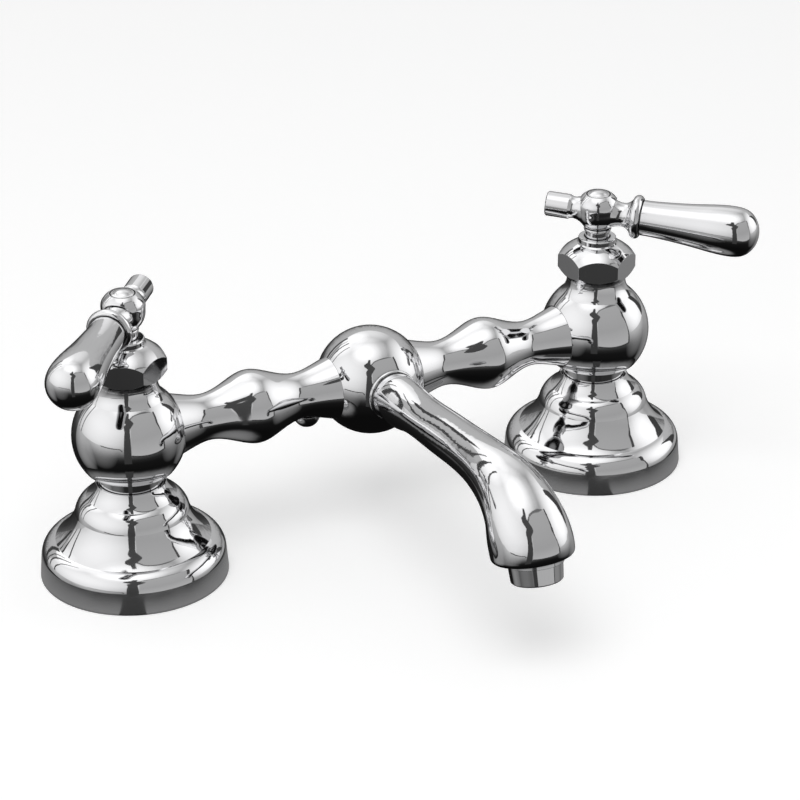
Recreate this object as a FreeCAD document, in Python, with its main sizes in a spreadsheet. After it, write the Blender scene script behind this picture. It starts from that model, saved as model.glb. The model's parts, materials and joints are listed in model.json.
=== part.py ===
import FreeCAD, Part
import math
import os
import re

import Sketcher

# Two-hole bridge faucet in polished brass: two bell escutcheons, two quarter-turn valves with
# lever handles, a turned bridge with a ball in its middle, and a spout with an aerator.
# Millimetres. The origin is on the deck, halfway between the two valves. X runs along the
# bridge to the right, the spout points towards -Y, and Z is up.

# Driving sizes. Where a group says so, each height or reach is a step from the one before.
SIZES = {
    # Whole faucet
    "valve_spacing": 203.2,
    "bridge_height": 57.7,
    "slip_clearance": 0.1,
    "running_clearance": 0.05,
    "free_clearance": 0.3,
    "face_clearance": 0.05,
    # Bell escutcheon. The heights of its parts, from the foot up, share the room below the gap.
    "bell_foot_radius": 36.0,
    "bell_band_radius": 35.3,
    "bell_band_height": 8.8,
    "bell_shoulder_radius": 29.7,
    "bell_shoulder_height": 6.2,
    "bell_shoulder_bulge": 1.3,
    "bell_waist_radius": 21.9,
    "bell_waist_height": 11.0,
    "bell_waist_hollow": 1.0,
    "bell_step_radius": 17.2,
    "bell_step_height": 6.8,
    "bell_step_bulge": 0.9,
    "bell_top_radius": 13.4,
    "bell_neck_height": 5.7,
    "bell_gap": 4.5,
    "bell_neck_hollow": 0.5,
    "bell_wall": 1.8,
    "bell_lip": 1.6,
    # Valve body. The bead and the seat lie below the bridge axis, the neck's foot below the
    # bead, and the nut's seat above the axis.
    "neck_radius": 12.2,
    "neck_foot": 15.0,
    "bead_radius": 13.4,
    "bead_foot": 14.7,
    "bead_thickness": 1.4,
    "globe_radius": 21.65,
    "cove_radius": 14.2,
    "cove_hollow": 0.7,
    "nut_seat": 22.6,
    "nut_foot_radius": 11.7,
    "thread_radius": 11.0,
    "thread_height": 6.0,
    "valve_bore": 9.2,
    "valve_seat": 11.7,
    "inlet_radius": 7.0,
    "tail_thread_radius": 10.4,
    "tail_thread_height": 12.0,
    # Ports that join body, arm, ball and spout
    "port_radius": 5.2,
    "spigot_radius": 8.0,
    "spigot_length": 5.2,
    "joint_face_radius": 12.2,
    "valve_joint_reach": 17.7,
    "ball_joint_reach": 17.4,
    "groove_radius": 6.6,
    "groove_width": 2.0,
    # Tailpiece inside the bell
    "tail_radius": 12.8,
    "tail_hex_flats": 26.4,
    "tail_hex_radius": 15.0,
    "tail_hex_height": 6.0,
    "inlet_thread_radius": 9.3,
    "inlet_thread_depth": 14.0,
    # Bonnet nut. Each height is a step from the one before; the roof lies below the top.
    "nut_flats": 26.8,
    "nut_turn": 2.0,
    "nut_corner_radius": 15.6,
    "nut_rim_height": 0.7,
    "nut_chamfer_height": 3.9,
    "nut_dome_height": 4.6,
    "nut_dome_bulge": 0.6,
    "nut_boss_radius": 7.5,
    "nut_boss_foot": 5.8,
    "nut_boss_top": 2.7,
    "nut_boss_edge": 0.5,
    "nut_hole_radius": 5.3,
    "nut_roof_height": 4.5,
    # Cartridge. It stands on the valve seat; its O-ring groove lies below the nut's seat.
    "housing_cavity_radius": 8.0,
    "housing_foot": 1.0,
    "housing_cavity_top": 5.3,
    "housing_flange_height": 1.8,
    "housing_flange_radius": 10.6,
    "housing_collar_radius": 7.0,
    "window_width": 9.0,
    "window_height": 7.0,
    "housing_groove_height": 5.3,
    "housing_groove_radius": 7.8,
    "disc_radius": 7.6,
    "disc_thickness": 3.0,
    "disc_hole_radius": 2.3,
    "disc_hole_reach": 4.5,
    "seal_thickness": 2.2,
    "seal_bore": 5.6,
    # Spindle. Its step lies below the hub's skirt, its top below the hub's recess, and its
    # O-ring groove above the nut's seat.
    "stem_radius": 4.2,
    "stem_step_height": 3.2,
    "stem_spline_radius": 3.5,
    "stem_top": 1.9,
    "tang_length": 13.6,
    "tang_width": 3.2,
    "tang_depth": 1.0,
    "tang_height": 2.6,
    "stem_groove_height": 1.7,
    "stem_groove_radius": 2.9,
    # Handle hub. Its middle lies above the nut; skirt and bead hang below the ball, and the
    # recess runs on by hub_floor below the cap's plug and the screw's head.
    "hub_height": 10.6,
    "hub_ball_radius": 8.2,
    "hub_skirt_radius": 4.9,
    "hub_skirt_foot": 3.4,
    "hub_bead_height": 1.4,
    "hub_bead_bulge": 0.6,
    "hub_top_radius": 4.95,
    "hub_top_height": 7.35,
    "hub_floor": 0.6,
    "hub_recess_radius": 4.4,
    "hub_root_radius": 5.9,
    "hub_root_hollow": 0.3,
    "lever_droop": 3.6,
    "lever_neck_radius": 4.7,
    "lever_neck_reach": 10.2,
    "lever_collar_radius": 8.7,
    "lever_collar_reach": 13.8,
    "lever_collar_edge": 1.1,
    "lever_collar_hollow": 0.7,
    "lever_collar_end": 17.4,
    "stub_radius": 4.95,
    "stub_reach": 20.8,
    "stub_shoulder": 11.6,
    "stub_neck_radius": 4.3,
    "stub_neck_reach": 9.6,
    "stub_chamfer": 0.5,
    # Lever grip. Each reach is a step from the one before.
    "grip_gap": 0.5,
    "grip_root_radius": 7.0,
    "grip_waist_radius": 7.5,
    "grip_waist_reach": 10.1,
    "grip_swell_radius": 8.7,
    "grip_swell_reach": 12.0,
    "grip_belly_radius": 9.95,
    "grip_belly_reach": 12.5,
    "grip_nose_radius": 8.3,
    "grip_nose_reach": 7.7,
    "grip_tip_radius": 5.2,
    "grip_tip_reach": 2.7,
    "grip_reach": 1.3,
    # Fixings in the handle
    "stud_radius": 3.0,
    "stud_start": 7.6,
    "stud_end": 40.0,
    "screw_radius": 2.0,
    "screw_length": 8.6,
    "screw_head_radius": 3.8,
    "screw_head_height": 2.8,
    "screw_socket": 3.0,
    "screw_socket_depth": 1.6,
    "cap_radius": 4.75,
    "cap_crown": 3.1,
    "cap_edge": 0.3,
    "cap_plug_depth": 1.0,
    # Bridge arm. The shoulder's inset is measured from the belly, the others from the joint.
    "arm_neck_radius": 9.0,
    "arm_neck_inset": 13.4,
    "arm_flare_radius": 10.2,
    "arm_flare_inset": 6.6,
    "arm_belly_radius": 14.35,
    "arm_shoulder_radius": 11.8,
    "arm_shoulder_inset": 8.85,
    # Plug under the left arm
    "plug_reach": 27.6,
    "plug_radius": 5.3,
    "plug_end_radius": 2.9,
    "plug_height": 4.9,
    "plug_bulge": 0.7,
    "plug_shank_radius": 2.6,
    "plug_seat": 8.1,
    # Ball in the middle of the bridge
    "ball_radius": 21.2,
    "spout_joint_reach": 18.9,
    # Spout, along its own axis, which rises from the middle of the ball. Each reach and drop is
    # a step from the one before.
    "spout_rise": 4.0,
    "spout_lip_radius": 9.75,
    "spout_lip_width": 1.4,
    "spout_root_radius": 9.2,
    "spout_neck_reach": 17.7,
    "spout_neck_radius": 8.7,
    "spout_run_reach": 22.0,
    "spout_run_radius": 8.7,
    "spout_bend_reach": 18.0,
    "spout_bend_radius": 9.0,
    "spout_crown_reach": 16.0,
    "spout_crown_drop": 0.75,
    "spout_crown_radius": 10.0,
    "spout_brow_reach": 14.8,
    "spout_brow_drop": 3.05,
    "spout_brow_width": 12.0,
    "spout_brow_depth": 11.8,
    "spout_cheek_reach": 10.7,
    "spout_cheek_drop": 5.9,
    "spout_cheek_width": 14.2,
    "spout_cheek_depth": 13.1,
    "spout_mouth_reach": 7.5,
    "spout_mouth_drop": 14.9,
    "spout_mouth_width": 15.7,
    "spout_mouth_depth": 12.8,
    "spout_mouth_heading": 80.0,
    "spout_mouth_edge": 2.2,
    "spout_wall": 3.0,
    # Aerator
    "aerator_thread_radius": 8.9,
    "aerator_thread_height": 6.5,
    "aerator_ring_radius": 10.6,
    "aerator_ring_height": 1.3,
    "aerator_top_radius": 10.1,
    "aerator_end_radius": 9.6,
    "aerator_height": 8.1,
    "aerator_bore": 7.4,
    "aerator_offset": 1.2,
    "aerator_lip": 0.9,
    "aerator_lip_height": 1.2,
    "washer_thickness": 1.8,
    "washer_bore": 6.0,
    "insert_height": 6.0,
    "insert_floor": 1.4,
    "insert_wall": 0.9,
    "insert_hole_radius": 0.65,
    "insert_inner_circle": 2.4,
    "insert_outer_circle": 4.8,
    # Pose in which the handles stand, as turned open from the closed position
    "left_opening": 48.0,
    "right_opening": 41.5,
}

# Levels that follow from the sizes
LEVELS = {
    # Above the deck
    "bell_height": "bridge_height - bead_foot - bell_gap",
    "bell_parts": "bell_band_height + bell_shoulder_height + bell_waist_height + bell_step_height",
    "bell_share": "bell_height / (bell_parts + bell_neck_height)",
    "band_level": "bell_share * bell_band_height",
    "shoulder_level": "band_level + bell_share * bell_shoulder_height",
    "waist_level": "shoulder_level + bell_share * bell_waist_height",
    "step_level": "waist_level + bell_share * bell_step_height",
    "neck_level": "bridge_height - bead_foot - neck_foot",
    # Above the bridge axis
    "globe_foot": "bead_thickness - bead_foot",
    "thread_top": "nut_seat + thread_height",
    "flange_top": "thread_top + housing_flange_height",
    "nut_rim_level": "nut_seat + nut_rim_height",
    "nut_chamfer_level": "nut_rim_level + nut_chamfer_height",
    "nut_dome_level": "nut_chamfer_level + nut_dome_height",
    "nut_boss_level": "nut_dome_level + nut_boss_foot",
    "nut_top": "nut_boss_level + nut_boss_top",
    "nut_roof": "nut_top - nut_roof_height",
    "housing_groove_level": "nut_seat - housing_groove_height",
    "stem_groove_level": "nut_seat + stem_groove_height",
    "disc_foot": "seal_thickness - valve_seat",
    "moving_foot": "disc_foot + disc_thickness + face_clearance",
    "stem_foot": "moving_foot + disc_thickness - tang_depth",
    "hub_level": "nut_top + hub_height",
    # Above the middle of the hub
    "hub_ball_foot": "-sqrt(hub_ball_radius^2 - hub_skirt_radius^2)",
    "hub_bead_level": "hub_ball_foot - hub_bead_height",
    "hub_skirt_level": "hub_bead_level - hub_skirt_foot",
    "screw_head_top": "hub_top_height - cap_plug_depth - hub_floor",
    "hub_floor_level": "screw_head_top - screw_head_height",
    "stem_top_level": "hub_floor_level - stem_top",
}

INNER_HOLES = 6
OUTER_HOLES = 12
SIDES = {"left": -1, "right": 1}

# How far a cutting outline runs past the face that it opens
OVERRUN = 1

doc = FreeCAD.newDocument("BridgeFaucet")
sheet = doc.addObject("Spreadsheet::Sheet", "Sizes")
for row, (alias, number) in enumerate(SIZES.items(), start=1):
    sheet.set(f"A{row}", alias)
    sheet.set(f"B{row}", str(number))
    sheet.setAlias(f"B{row}", alias)
for row, (alias, formula) in enumerate(LEVELS.items(), start=len(SIZES) + 1):
    sheet.set(f"A{row}", alias)
    sheet.set(f"B{row}", f"={formula}")
    sheet.setAlias(f"B{row}", alias)
doc.recompute()

nodes = {}


def bound(expression):
    """The expression with every size named as a cell of the sheet."""
    def cell(match):
        word = match.group()
        return f"Sizes.{word}" if word in SIZES or word in LEVELS else word
    return re.sub(r"[a-z_]+", cell, expression)


def value(expression):
    """The number that an expression in sizes comes to."""
    result = sheet.evalExpression(bound(expression))
    return float(getattr(result, "Value", result))


def minus(expression):
    """The expression with its sign turned; a plain 0 stays as it is."""
    return expression if expression == "0" else f"-({expression})"


def vector(x=0.0, y=0.0, z=0.0):
    return FreeCAD.Vector(x, y, z)


def placed(x, y, z, *turns):
    """Placement at x, y, z (expressions), turned by (axis, degrees) in order from outside in."""
    placement = FreeCAD.Placement(vector(value(x), value(y), value(z)), FreeCAD.Rotation())
    for axis, degrees in turns:
        placement = placement * FreeCAD.Placement(vector(), FreeCAD.Rotation(axis, degrees))
    return placement


X_AXIS, Y_AXIS, Z_AXIS = vector(1, 0, 0), vector(0, 1, 0), vector(0, 0, 1)


def new_body(label):
    body = doc.addObject("PartDesign::Body", label)
    body.Label = label
    return body


def new_sketch(body, name, plane="XZ_Plane", turn="0"):
    """Sketch on one of the body's own origin planes, turned in that plane by an expression."""
    sketch = body.newObject("Sketcher::SketchObject", name)
    support = next(item for item in body.Origin.OriginFeatures if item.Role == plane)
    sketch.AttachmentSupport = [(support, "")]
    sketch.MapMode = "FlatFace"
    if turn != "0":
        sketch.AttachmentOffset = FreeCAD.Placement(vector(), FreeCAD.Rotation(Z_AXIS, value(turn)))
        sketch.setExpression("AttachmentOffset.Rotation.Angle", bound(turn))
    return sketch


def pin(sketch, geometry, end, x, y):
    """Holds one point of a sketch's geometry at two expressions, or on an axis where one is 0."""
    for kind, axis, expression in (("DistanceX", -2, x), ("DistanceY", -1, y)):
        if expression == "0":
            sketch.addConstraint(Sketcher.Constraint("PointOnObject", geometry, end, axis))
            continue
        held = Sketcher.Constraint(kind, -1, 1, geometry, end, value(expression))
        index = sketch.addConstraint(held)
        name = f"{kind.lower()}_{index}"
        sketch.renameConstraint(index, name)
        sketch.setExpression(f"Constraints.{name}", bound(expression))


def bulge_point(start, end, bulge):
    """Middle of an arc that stands off its chord by bulge, to the right of the way it runs."""
    (x0, y0), (x1, y1) = start, end
    chord = f"sqrt((({x1}) - ({x0}))^2 + (({y1}) - ({y0}))^2)"
    x = f"(({x0}) + ({x1})) / 2 + ({bulge}) * (({y1}) - ({y0})) / {chord}"
    y = f"(({y0}) + ({y1})) / 2 - ({bulge}) * (({x1}) - ({x0})) / {chord}"
    return x, y


def arc_through(start, middle, end):
    """Arc in the sketch plane and whether it runs from start to end anticlockwise."""
    round_side = Part.Arc(start, middle, end).toShape().Curve
    centre, radius = round_side.Center, round_side.Radius
    turn = (middle - start).cross(end - middle).z
    first, last = (start, end) if turn > 0 else (end, start)
    angles = [math.atan2(p.y - centre.y, p.x - centre.x) for p in (first, last)]
    if angles[1] < angles[0]:
        angles[1] += 2 * math.pi
    return Part.ArcOfCircle(Part.Circle(centre, Z_AXIS, radius), *angles), turn > 0


def outline(sketch, rows):
    """Closed outline. A row is (x, y) for a straight side that ends there, and its third item
    makes that side an arc: a bulge, or a pair that it passes through. The first row is where
    the outline starts, and its side closes it."""
    points = [(row[0], row[1]) for row in rows]
    corners = [vector(value(x), value(y)) for x, y in points]
    ends = []
    for index, row in enumerate(rows[1:] + rows[:1], start=1):
        last = index % len(rows)
        start, end = corners[index - 1], corners[last]
        if len(row) == 2:
            side = sketch.addGeometry(Part.LineSegment(start, end))
            ends.append((side, 1, 2))
            continue
        middle = row[2]
        if isinstance(middle, str):
            middle = bulge_point(points[index - 1], points[last], middle)
        spot = vector(value(middle[0]), value(middle[1]))
        arc, forward = arc_through(start, spot, end)
        side = sketch.addGeometry(arc)
        ends.append((side, 1, 2) if forward else (side, 2, 1))
        mark = sketch.addGeometry(Part.Point(spot), True)
        pin(sketch, mark, 1, *middle)
        sketch.addConstraint(Sketcher.Constraint("PointOnObject", mark, 1, side))
    for index, (side, near, far) in enumerate(ends):
        following, start, _ = ends[(index + 1) % len(ends)]
        sketch.addConstraint(Sketcher.Constraint("Coincident", side, far, following, start))
        pin(sketch, side, near, *points[index])
    return sketch


def circle(sketch, x, y, radius):
    """Circle of an expression's radius."""
    ring = sketch.addGeometry(Part.Circle(vector(value(x), value(y)), Z_AXIS, value(radius)))
    pin(sketch, ring, 3, x, y)
    index = sketch.addConstraint(Sketcher.Constraint("Radius", ring, value(radius)))
    sketch.renameConstraint(index, f"radius_{index}")
    sketch.setExpression(f"Constraints.radius_{index}", bound(radius))
    return sketch


def polygon(sketch, flats, turn="0", sides=6):
    """Regular outline with its flats a set distance apart."""
    corner = f"({flats}) / 2 / cos({180 / sides} deg)"
    rows = []
    for index in range(sides):
        angle = f"({(index + 0.5) * 360 / sides} + ({turn})) * 1 deg"
        rows.append((f"{corner} * cos({angle})", f"{corner} * sin({angle})"))
    return outline(sketch, rows)


def turned(body, name, rows, axis="V_Axis", plane="XZ_Plane", turn="0", cut=False):
    """Outline turned about a sketch axis, added to the body or cut out of it."""
    sketch = outline(new_sketch(body, f"{name}_outline", plane, turn), rows)
    kind = "PartDesign::Groove" if cut else "PartDesign::Revolution"
    feature = body.newObject(kind, name)
    feature.Profile = sketch
    feature.ReferenceAxis = (sketch, [axis])
    feature.Angle = 360
    sketch.Visibility = False
    return feature


def pocket(body, name, sketch, depth=None):
    """Cut of a sketch, right through to both sides or to a depth on each side of its plane."""
    feature = body.newObject("PartDesign::Pocket", name)
    feature.Profile = sketch
    feature.Midplane = True
    if depth is None:
        feature.Type = "ThroughAll"
        return feature
    feature.Length = value(f"2 * ({depth})")
    feature.setExpression("Length", bound(f"2 * ({depth})"))
    return feature


def turned_node(label, rows, placement):
    """Node that is one outline turned about its own Z axis."""
    body = new_body(label)
    turned(body, f"{label}_turned", rows)
    body.Placement = placement
    nodes[label] = body
    return body


def tube_rows(inner, outer, foot, top):
    return [(inner, foot), (outer, foot), (outer, top), (inner, top)]


def ring_node(label, groove, wall, height, placement):
    """O-ring that fills a groove from its floor to the wall round it."""
    torus = doc.addObject("Part::Torus", label)
    torus.Label = label
    for name, expression in (
        ("Radius1", f"({groove} + {wall}) / 2"),
        ("Radius2", f"({wall} - {groove}) / 2"),
    ):
        setattr(torus, name, value(expression))
        torus.setExpression(name, bound(expression))
    offset = FreeCAD.Placement(vector(0, 0, value(height)), FreeCAD.Rotation())
    torus.Placement = placement * offset
    nodes[label] = torus
    return torus


def spline_solid(label, curve_points, core_rows, placement, tip=False, cuts=()):
    """Node turned about Z from a smooth outer curve, closed by the straight lines of its core.
    With tip the curve meets the axis square, as the end of a grip does. Cuts are made in the
    node's own frame."""
    curve = Part.BSplineCurve()
    spots = [vector(value(r), 0, value(z)) for r, z in curve_points]
    if tip:
        curve.interpolate(Points=spots, InitialTangent=Z_AXIS, FinalTangent=-X_AXIS)
    else:
        curve.interpolate(Points=spots)
    edges = [curve.toShape()]
    corners = [spots[-1]] + [vector(value(r), 0, value(z)) for r, z in core_rows] + [spots[0]]
    for start, end in zip(corners, corners[1:]):
        edges.append(Part.LineSegment(start, end).toShape())
    face = Part.Face(Part.Wire(edges))
    piece = doc.addObject("Part::Feature", label)
    piece.Label = label
    solid = face.revolve(vector(), Z_AXIS, 360)
    piece.Shape = solid.cut(list(cuts)) if cuts else solid
    piece.Placement = placement
    nodes[label] = piece
    return piece


# Bell escutcheon: a spun shell that stands on the deck and hides the shank


def escutcheon(side, place):
    wall, drop = "bell_wall", "bell_wall / 2"
    turned_node(f"{side}_escutcheon", [
        ("bell_foot_radius", "0"),
        ("bell_band_radius", "band_level"),
        ("bell_shoulder_radius", "shoulder_level", "bell_shoulder_bulge"),
        ("bell_waist_radius", "waist_level", "-bell_waist_hollow"),
        ("bell_step_radius", "step_level", "bell_step_bulge"),
        ("bell_top_radius", "bell_height", "-bell_neck_hollow"),
        ("neck_radius + free_clearance", "bell_height"),
        ("neck_radius + free_clearance", "bell_height - bell_lip"),
        (f"bell_step_radius - {wall}", f"step_level - {drop}", "bell_neck_hollow"),
        (f"bell_waist_radius - {wall}", f"waist_level - {drop}", "-bell_step_bulge"),
        (f"bell_shoulder_radius - {wall}", f"shoulder_level - {drop}", "bell_waist_hollow"),
        (f"bell_band_radius - {wall}", f"band_level - {drop}", "-bell_shoulder_bulge"),
        (f"bell_foot_radius - {wall}", "0"),
    ], place)


# Valve body: a cast globe with a neck below, a side port and a threaded neck above


def port_outline(joint_reach):
    """What a port takes out of a ball: the joint face, the spigot socket and the waterway."""
    socket_floor = f"{joint_reach} - spigot_length - free_clearance"
    return [
        ("0", "0"),
        ("globe_radius + ball_radius", "0"),
        ("globe_radius + ball_radius", "globe_radius + ball_radius"),
        (joint_reach, "globe_radius + ball_radius"),
        (joint_reach, "spigot_radius + slip_clearance"),
        (socket_floor, "spigot_radius + slip_clearance"),
        (socket_floor, "port_radius"),
        ("0", "port_radius"),
    ]


def valve_body(side, place):
    body = new_body(f"{side}_valve_body")
    neck_end = "-(bead_foot + neck_foot)"
    socket_roof = f"{neck_end} + tail_thread_height"
    turned(body, f"{side}_casting", [
        ("tail_thread_radius + slip_clearance", neck_end),
        ("neck_radius", neck_end),
        ("neck_radius", "-bead_foot"),
        ("bead_radius - bead_thickness / 2", "-bead_foot"),
        ("bead_radius - bead_thickness / 2", "globe_foot", "bead_thickness / 2"),
        ("sqrt(globe_radius^2 - globe_foot^2)", "globe_foot"),
        ("cove_radius", "sqrt(globe_radius^2 - cove_radius^2)", ("globe_radius", "0")),
        ("nut_foot_radius", "nut_seat", "-cove_hollow"),
        ("thread_radius", "nut_seat"),
        ("thread_radius", "thread_top"),
        ("valve_bore", "thread_top"),
        ("valve_bore", "-valve_seat"),
        ("inlet_radius", "-valve_seat"),
        ("inlet_radius", socket_roof),
        ("tail_thread_radius + slip_clearance", socket_roof),
    ])
    turned(body, f"{side}_port", port_outline("valve_joint_reach"), axis="H_Axis", cut=True)
    body.Placement = place
    nodes[body.Label] = body


def tailpiece(side, place):
    """Brass tail inside the bell: hexagon, thread into the neck and a female inlet thread."""
    body = new_body(f"{side}_tailpiece")
    shoulder = "neck_level - tail_hex_height"
    thread_end = "neck_level + tail_thread_height - free_clearance"
    turned(body, f"{side}_tail", [
        ("inlet_thread_radius", "0"),
        ("tail_radius", "0"),
        ("tail_radius", shoulder),
        ("tail_hex_radius", shoulder),
        ("tail_hex_radius", "neck_level"),
        ("tail_thread_radius", "neck_level"),
        ("tail_thread_radius", thread_end),
        ("inlet_radius", thread_end),
        ("inlet_radius", "inlet_thread_depth"),
        ("inlet_thread_radius", "inlet_thread_depth"),
    ])
    hexagon_cut(body, f"{side}_tail_hexagon", "tail_hex_flats", "0")
    body.Placement = place
    nodes[body.Label] = body


def hexagon_cut(body, name, flats, turn):
    """Takes away all that lies outside a hexagon."""
    sketch = new_sketch(body, f"{name}_sketch", "XY_Plane")
    polygon(sketch, flats, turn)
    circle(sketch, "0", "0", "bell_foot_radius")
    pocket(body, name, sketch)


def bonnet_nut(side, place):
    """Hexagon nut with a domed top and a boss ring, which holds the cartridge down."""
    body = new_body(f"{side}_bonnet_nut")
    turned(body, f"{side}_nut_blank", [
        ("thread_radius + slip_clearance", "nut_seat"),
        ("nut_foot_radius", "nut_seat"),
        ("nut_foot_radius", "nut_rim_level"),
        ("nut_corner_radius", "nut_chamfer_level"),
        ("nut_corner_radius", "nut_dome_level"),
        ("nut_boss_radius + nut_boss_edge", "nut_boss_level", "nut_dome_bulge"),
        ("nut_boss_radius", "nut_boss_level + nut_boss_edge"),
        ("nut_boss_radius", "nut_top - nut_boss_edge"),
        ("nut_boss_radius - nut_boss_edge", "nut_top", "nut_boss_edge / 5"),
        ("nut_hole_radius", "nut_top"),
        ("nut_hole_radius", "nut_roof"),
        ("housing_collar_radius + slip_clearance", "nut_roof"),
        ("housing_collar_radius + slip_clearance", "flange_top"),
        ("thread_radius + slip_clearance", "flange_top"),
    ])
    hexagon_cut(body, f"{side}_nut_hexagon", "nut_flats", "nut_turn")
    body.Placement = place
    nodes[body.Label] = body


# Quarter-turn cartridge: housing, fixed and moving discs, seat seal, spindle and O-rings


def cartridge_housing(side, place):
    body = new_body(f"{side}_cartridge_housing")
    outer, cavity = "valve_bore - slip_clearance", "housing_cavity_radius"
    foot = "housing_foot - valve_seat"
    turned(body, f"{side}_housing", [
        (cavity, foot),
        (outer, foot),
        (outer, "housing_groove_level"),
        ("housing_groove_radius", "housing_groove_level"),
        ("housing_groove_radius", "housing_groove_level + groove_width"),
        (outer, "housing_groove_level + groove_width"),
        (outer, "thread_top"),
        ("housing_flange_radius", "thread_top"),
        ("housing_flange_radius", "flange_top"),
        ("housing_collar_radius", "flange_top"),
        ("housing_collar_radius", "nut_roof - free_clearance"),
        ("stem_radius + running_clearance", "nut_roof - free_clearance"),
        ("stem_radius + running_clearance", "housing_cavity_top"),
        (cavity, "housing_cavity_top"),
    ])
    window = new_sketch(body, f"{side}_window_sketch", "YZ_Plane")
    half, sill = "window_width / 2", "window_height / 2"
    outline(window, [(f"-{half}", f"-{sill}"), (half, f"-{sill}"), (half, sill), (f"-{half}", sill)])
    pocket(body, f"{side}_windows", window)
    body.Placement = place
    nodes[body.Label] = body


def disc(side, name, foot, radius, place, slotted):
    """Ceramic disc with two waterway holes; the moving one has a slot for the spindle's tang."""
    body = new_body(f"{side}_{name}")
    top = f"{foot} + disc_thickness"
    turned(body, f"{side}_{name}_blank", [("0", foot), (radius, foot), (radius, top), ("0", top)])
    holes = new_sketch(body, f"{side}_{name}_holes_sketch", "XY_Plane")
    x, y = ("disc_hole_reach", "0") if slotted else ("0", "disc_hole_reach")
    circle(holes, x, y, "disc_hole_radius")
    circle(holes, minus(x), minus(y), "disc_hole_radius")
    pocket(body, f"{side}_{name}_holes", holes)
    if slotted:
        slot = new_sketch(body, f"{side}_{name}_slot_sketch", "XZ_Plane")
        half = "tang_width / 2 + running_clearance"
        floor = f"{top} - tang_depth - running_clearance"
        mouth = f"{top} + {OVERRUN}"
        outline(slot, [(minus(half), floor), (half, floor), (half, mouth), (minus(half), mouth)])
        pocket(body, f"{side}_{name}_slot", slot)
    body.Placement = place
    nodes[body.Label] = body


def stem(side, place):
    """Spindle: tang that turns the moving disc, shaft with an O-ring groove, drive for the hub."""
    body = new_body(f"{side}_stem")
    shaft_foot = "stem_foot + tang_depth + running_clearance"
    step = "hub_level + hub_skirt_level - stem_step_height"
    top = "hub_level + stem_top_level"
    hole_floor = "hub_level + hub_floor_level - screw_length - free_clearance"
    turned(body, f"{side}_spindle", [
        ("0", shaft_foot),
        ("stem_radius", shaft_foot),
        ("stem_radius", "stem_groove_level"),
        ("stem_groove_radius", "stem_groove_level"),
        ("stem_groove_radius", "stem_groove_level + groove_width"),
        ("stem_radius", "stem_groove_level + groove_width"),
        ("stem_radius", step),
        ("stem_spline_radius", step),
        ("stem_spline_radius", top),
        ("screw_radius + running_clearance", top),
        ("screw_radius + running_clearance", hole_floor),
        ("0", hole_floor),
    ])
    bar = new_sketch(body, f"{side}_tang_sketch", "XZ_Plane")
    half, foot, crown = "tang_width / 2", "stem_foot", "stem_foot + tang_height"
    outline(bar, [(minus(half), foot), (half, foot), (half, crown), (minus(half), crown)])
    pad = body.newObject("PartDesign::Pad", f"{side}_tang")
    pad.Profile = bar
    pad.Length = value("tang_length")
    pad.setExpression("Length", bound("tang_length"))
    pad.Midplane = True
    body.Placement = place
    nodes[body.Label] = body


# Handle: a cast hub with a stub and a collar, and a turned grip on a stud


def handle_hub(side, place):
    """Hub casting in its own frame: origin in the ball's middle, lever towards +X."""
    body = new_body(f"{side}_handle_hub")
    turned(body, f"{side}_hub", [
        ("0", "hub_skirt_level"),
        ("hub_skirt_radius", "hub_skirt_level"),
        ("hub_skirt_radius", "hub_bead_level"),
        ("hub_skirt_radius", "hub_ball_foot", "hub_bead_bulge"),
        ("sqrt(hub_ball_radius^2 - (hub_ball_radius / 2)^2)", "hub_ball_radius / 2",
         ("hub_ball_radius", "0")),
        ("hub_top_radius", "hub_top_height"),
        ("0", "hub_top_height"),
    ])
    droop = "-lever_droop"
    root = "sqrt(hub_ball_radius^2 - hub_root_radius^2)"
    turned(body, f"{side}_stub", [
        ("0", "0"),
        ("0", "hub_root_radius"),
        (minus(root), "hub_root_radius"),
        ("-stub_neck_reach", "stub_neck_radius", "-hub_root_hollow"),
        ("-stub_shoulder", "stub_radius", "-stub_chamfer / 3"),
        ("-(stub_reach - stub_chamfer)", "stub_radius"),
        ("-stub_reach", "stub_radius - stub_chamfer"),
        ("-stub_reach", "0"),
    ], axis="H_Axis", turn=droop)
    crest = ("(lever_collar_reach + lever_collar_end) / 2", "lever_collar_radius")
    turned(body, f"{side}_collar", [
        ("0", "0"),
        ("lever_collar_end", "0"),
        ("lever_collar_end", "lever_collar_radius - lever_collar_edge"),
        ("lever_collar_reach", "lever_collar_radius - lever_collar_edge", crest),
        ("lever_neck_reach", "lever_neck_radius", "-lever_collar_hollow"),
        (root, "hub_root_radius", "-hub_root_hollow"),
        ("0", "hub_root_radius"),
    ], axis="H_Axis", turn=droop)
    bore, shank = "stem_spline_radius + slip_clearance", "screw_radius + free_clearance"
    turned(body, f"{side}_hub_bore", [
        ("0", f"hub_skirt_level - {OVERRUN}"),
        (bore, f"hub_skirt_level - {OVERRUN}"),
        (bore, "stem_top_level + free_clearance"),
        (shank, "stem_top_level + free_clearance"),
        (shank, "hub_floor_level"),
        ("hub_recess_radius", "hub_floor_level"),
        ("hub_recess_radius", f"hub_top_height + {OVERRUN}"),
        ("0", f"hub_top_height + {OVERRUN}"),
    ], cut=True)
    hole = "stud_radius + slip_clearance"
    turned(body, f"{side}_stud_hole", [
        ("stud_start", "0"),
        (f"lever_collar_end + {OVERRUN}", "0"),
        (f"lever_collar_end + {OVERRUN}", hole),
        ("stud_start", hole),
    ], axis="H_Axis", turn=droop, cut=True)
    body.Placement = place
    nodes[body.Label] = body


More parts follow.
